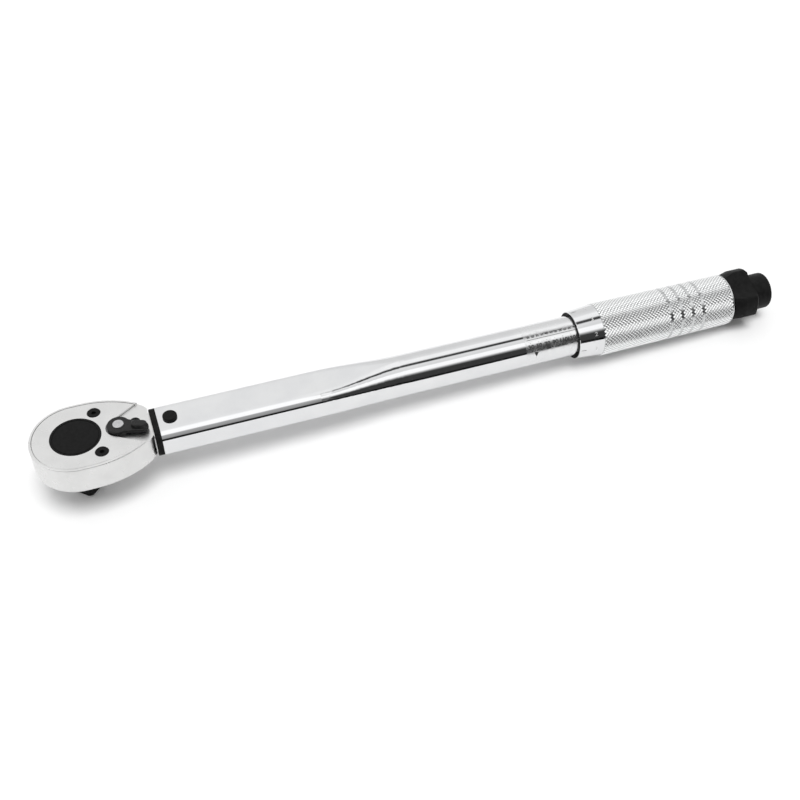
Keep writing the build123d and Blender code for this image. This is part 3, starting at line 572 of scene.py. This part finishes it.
# =====================================================================
# floor, light and camera
# =====================================================================
def floor():
    """A pale sheet that the drive's tip and the knob's flange rest on."""
    reach = 3.0
    clearance = 0.2 * MM
    knob_x = (knob_low.x + knob_high.x) / 2
    slope = (knob_low.z - TIP_Z) / knob_x
    corners = []
    for sx, sy in ((-1, -1), (1, -1), (1, 1), (-1, 1)):
        x = 0.2 + sx * reach
        corners.append((x, sy * reach, TIP_Z + slope * x - clearance))
    paper = new_material("floor_paper", (0.9, 0.9, 0.9), 0.0, 0.8, 0.1)[0]
    sheet = place("floor", new_mesh("floor", corners, [(0, 1, 2, 3)], paper))


def dark_card():
    """A black flag on the near side, seen only in the metal's reflections."""
    y = -0.28
    left, right = -1.5, 2.0
    low, high = TIP_Z, AXIS_Z + 0.03
    corners = [(left, y, low), (right, y, low), (right, y, high), (left, y, high)]
    black = new_material("card_black", (0.01, 0.01, 0.01), 0.0, 1.0, 0.0)[0]
    card = place("dark_card", new_mesh("dark_card", corners, [(0, 1, 2, 3)], black))
    card.visible_camera = False
    card.visible_diffuse = False
    card.visible_shadow = False


def brightness_ramp(tree, angle, stops):
    """Grey level by angle about the X axis; stops are (degrees, grey)."""
    ramp = tree.nodes.new("ShaderNodeValToRGB")
    elements = ramp.color_ramp.elements
    while len(elements) < len(stops):
        elements.new(0.5)
    for element, (degrees, value) in zip(elements, stops):
        element.position = degrees / 180
        element.color = (value, value, value, 1)
    tree.links.new(angle, ramp.inputs["Fac"])
    return ramp.outputs["Color"]


def range_share(tree, source, low, high):
    """Where a value lies between low and high, as 0..1."""
    share = tree.nodes.new("ShaderNodeMapRange")
    share.inputs["From Min"].default_value = low
    share.inputs["From Max"].default_value = high
    tree.links.new(source, share.inputs["Value"])
    return share.outputs["Result"]


def angle_about_x(tree, axes):
    """Angle of a direction about the X axis, as 0 at the near horizon to 1 at the far one."""
    flip = tree.nodes.new("ShaderNodeMath")
    flip.operation = "MULTIPLY"
    flip.inputs[1].default_value = -1.0
    angle = tree.nodes.new("ShaderNodeMath")
    angle.operation = "ARCTAN2"
    tree.links.new(axes.outputs["Y"], flip.inputs[0])
    tree.links.new(axes.outputs["Z"], angle.inputs[0])
    tree.links.new(flip.outputs["Value"], angle.inputs[1])
    return range_share(tree, angle.outputs["Value"], 0.0, math.pi)


def studio_world():
    """Long soft boxes parallel to the tube, as brightness by angle about the X axis.

    0 degrees is the near horizon, 90 the zenith and 180 the far horizon. The boxes differ a
    little between the head's end and the handle's end of the room.
    """
    world = bpy.data.worlds.new("studio")
    bpy.context.scene.world = world
    world.use_nodes = True
    world.cycles_visibility.diffuse = False
    tree = world.node_tree
    coords = tree.nodes.new("ShaderNodeTexCoord")
    axes = tree.nodes.new("ShaderNodeSeparateXYZ")
    tree.links.new(coords.outputs["Generated"], axes.inputs["Vector"])
    angle = angle_about_x(tree, axes)
    head_end = brightness_ramp(tree, angle, [
        (0, 0.04), (12, 0.03), (17, 0.38), (48, 0.5), (56, 1.35), (88, 1.4),
        (106, 1.06), (128, 1.03), (145, 1.0), (165, 0.95), (180, 0.9),
    ])
    handle_end = brightness_ramp(tree, angle, [
        (0, 0.05), (32, 0.05), (38, 0.35), (47, 1.3), (62, 1.35), (68, 0.9), (82, 1.0), (85, 0.9),
        (88, 0.06), (97, 0.06), (103, 1.15), (120, 1.2), (130, 0.95), (150, 0.85), (180, 0.85),
    ])
    mix = tree.nodes.new("ShaderNodeMix")
    mix.data_type = "RGBA"
    tree.links.new(range_share(tree, axes.outputs["X"], 0.15, 0.22), mix.inputs["Factor"])
    tree.links.new(head_end, mix.inputs["A"])
    tree.links.new(handle_end, mix.inputs["B"])
    tree.links.new(mix.outputs["Result"], tree.nodes["Background"].inputs["Color"])
    tree.nodes["Background"].inputs["Strength"].default_value = 1.0


def soft_sun(name, tilt, spread, strength):
    """Even light from above, tilted towards -Y; it isn't mirrored in the chrome."""
    data = bpy.data.lights.new(name, "SUN")
    data.angle = math.radians(spread)
    data.energy = strength
    lamp = place(name, data)
    lamp.rotation_euler = (math.radians(tilt), 0, 0)
    lamp.visible_glossy = False


def camera():
    """The photograph's point of view."""
    data = bpy.data.cameras.new("camera")
    data.sensor_width = SENSOR_MM
    data.lens = LENS_MM
    data.clip_start = 0.01
    data.clip_end = 50.0
    cam = place("camera", data)
    cam.location = CAMERA_PLACE
    view = Vector(CAMERA_TARGET) - cam.location
    cam.rotation_euler = view.to_track_quat("-Z", "Y").to_euler()
    bpy.context.scene.camera = cam


floor()
dark_card()
studio_world()
soft_sun("key", tilt=18, spread=31, strength=2.02)
soft_sun("dome", tilt=0, spread=165, strength=1.88)
camera()
bpy.context.scene.view_settings.view_transform = "Standard"
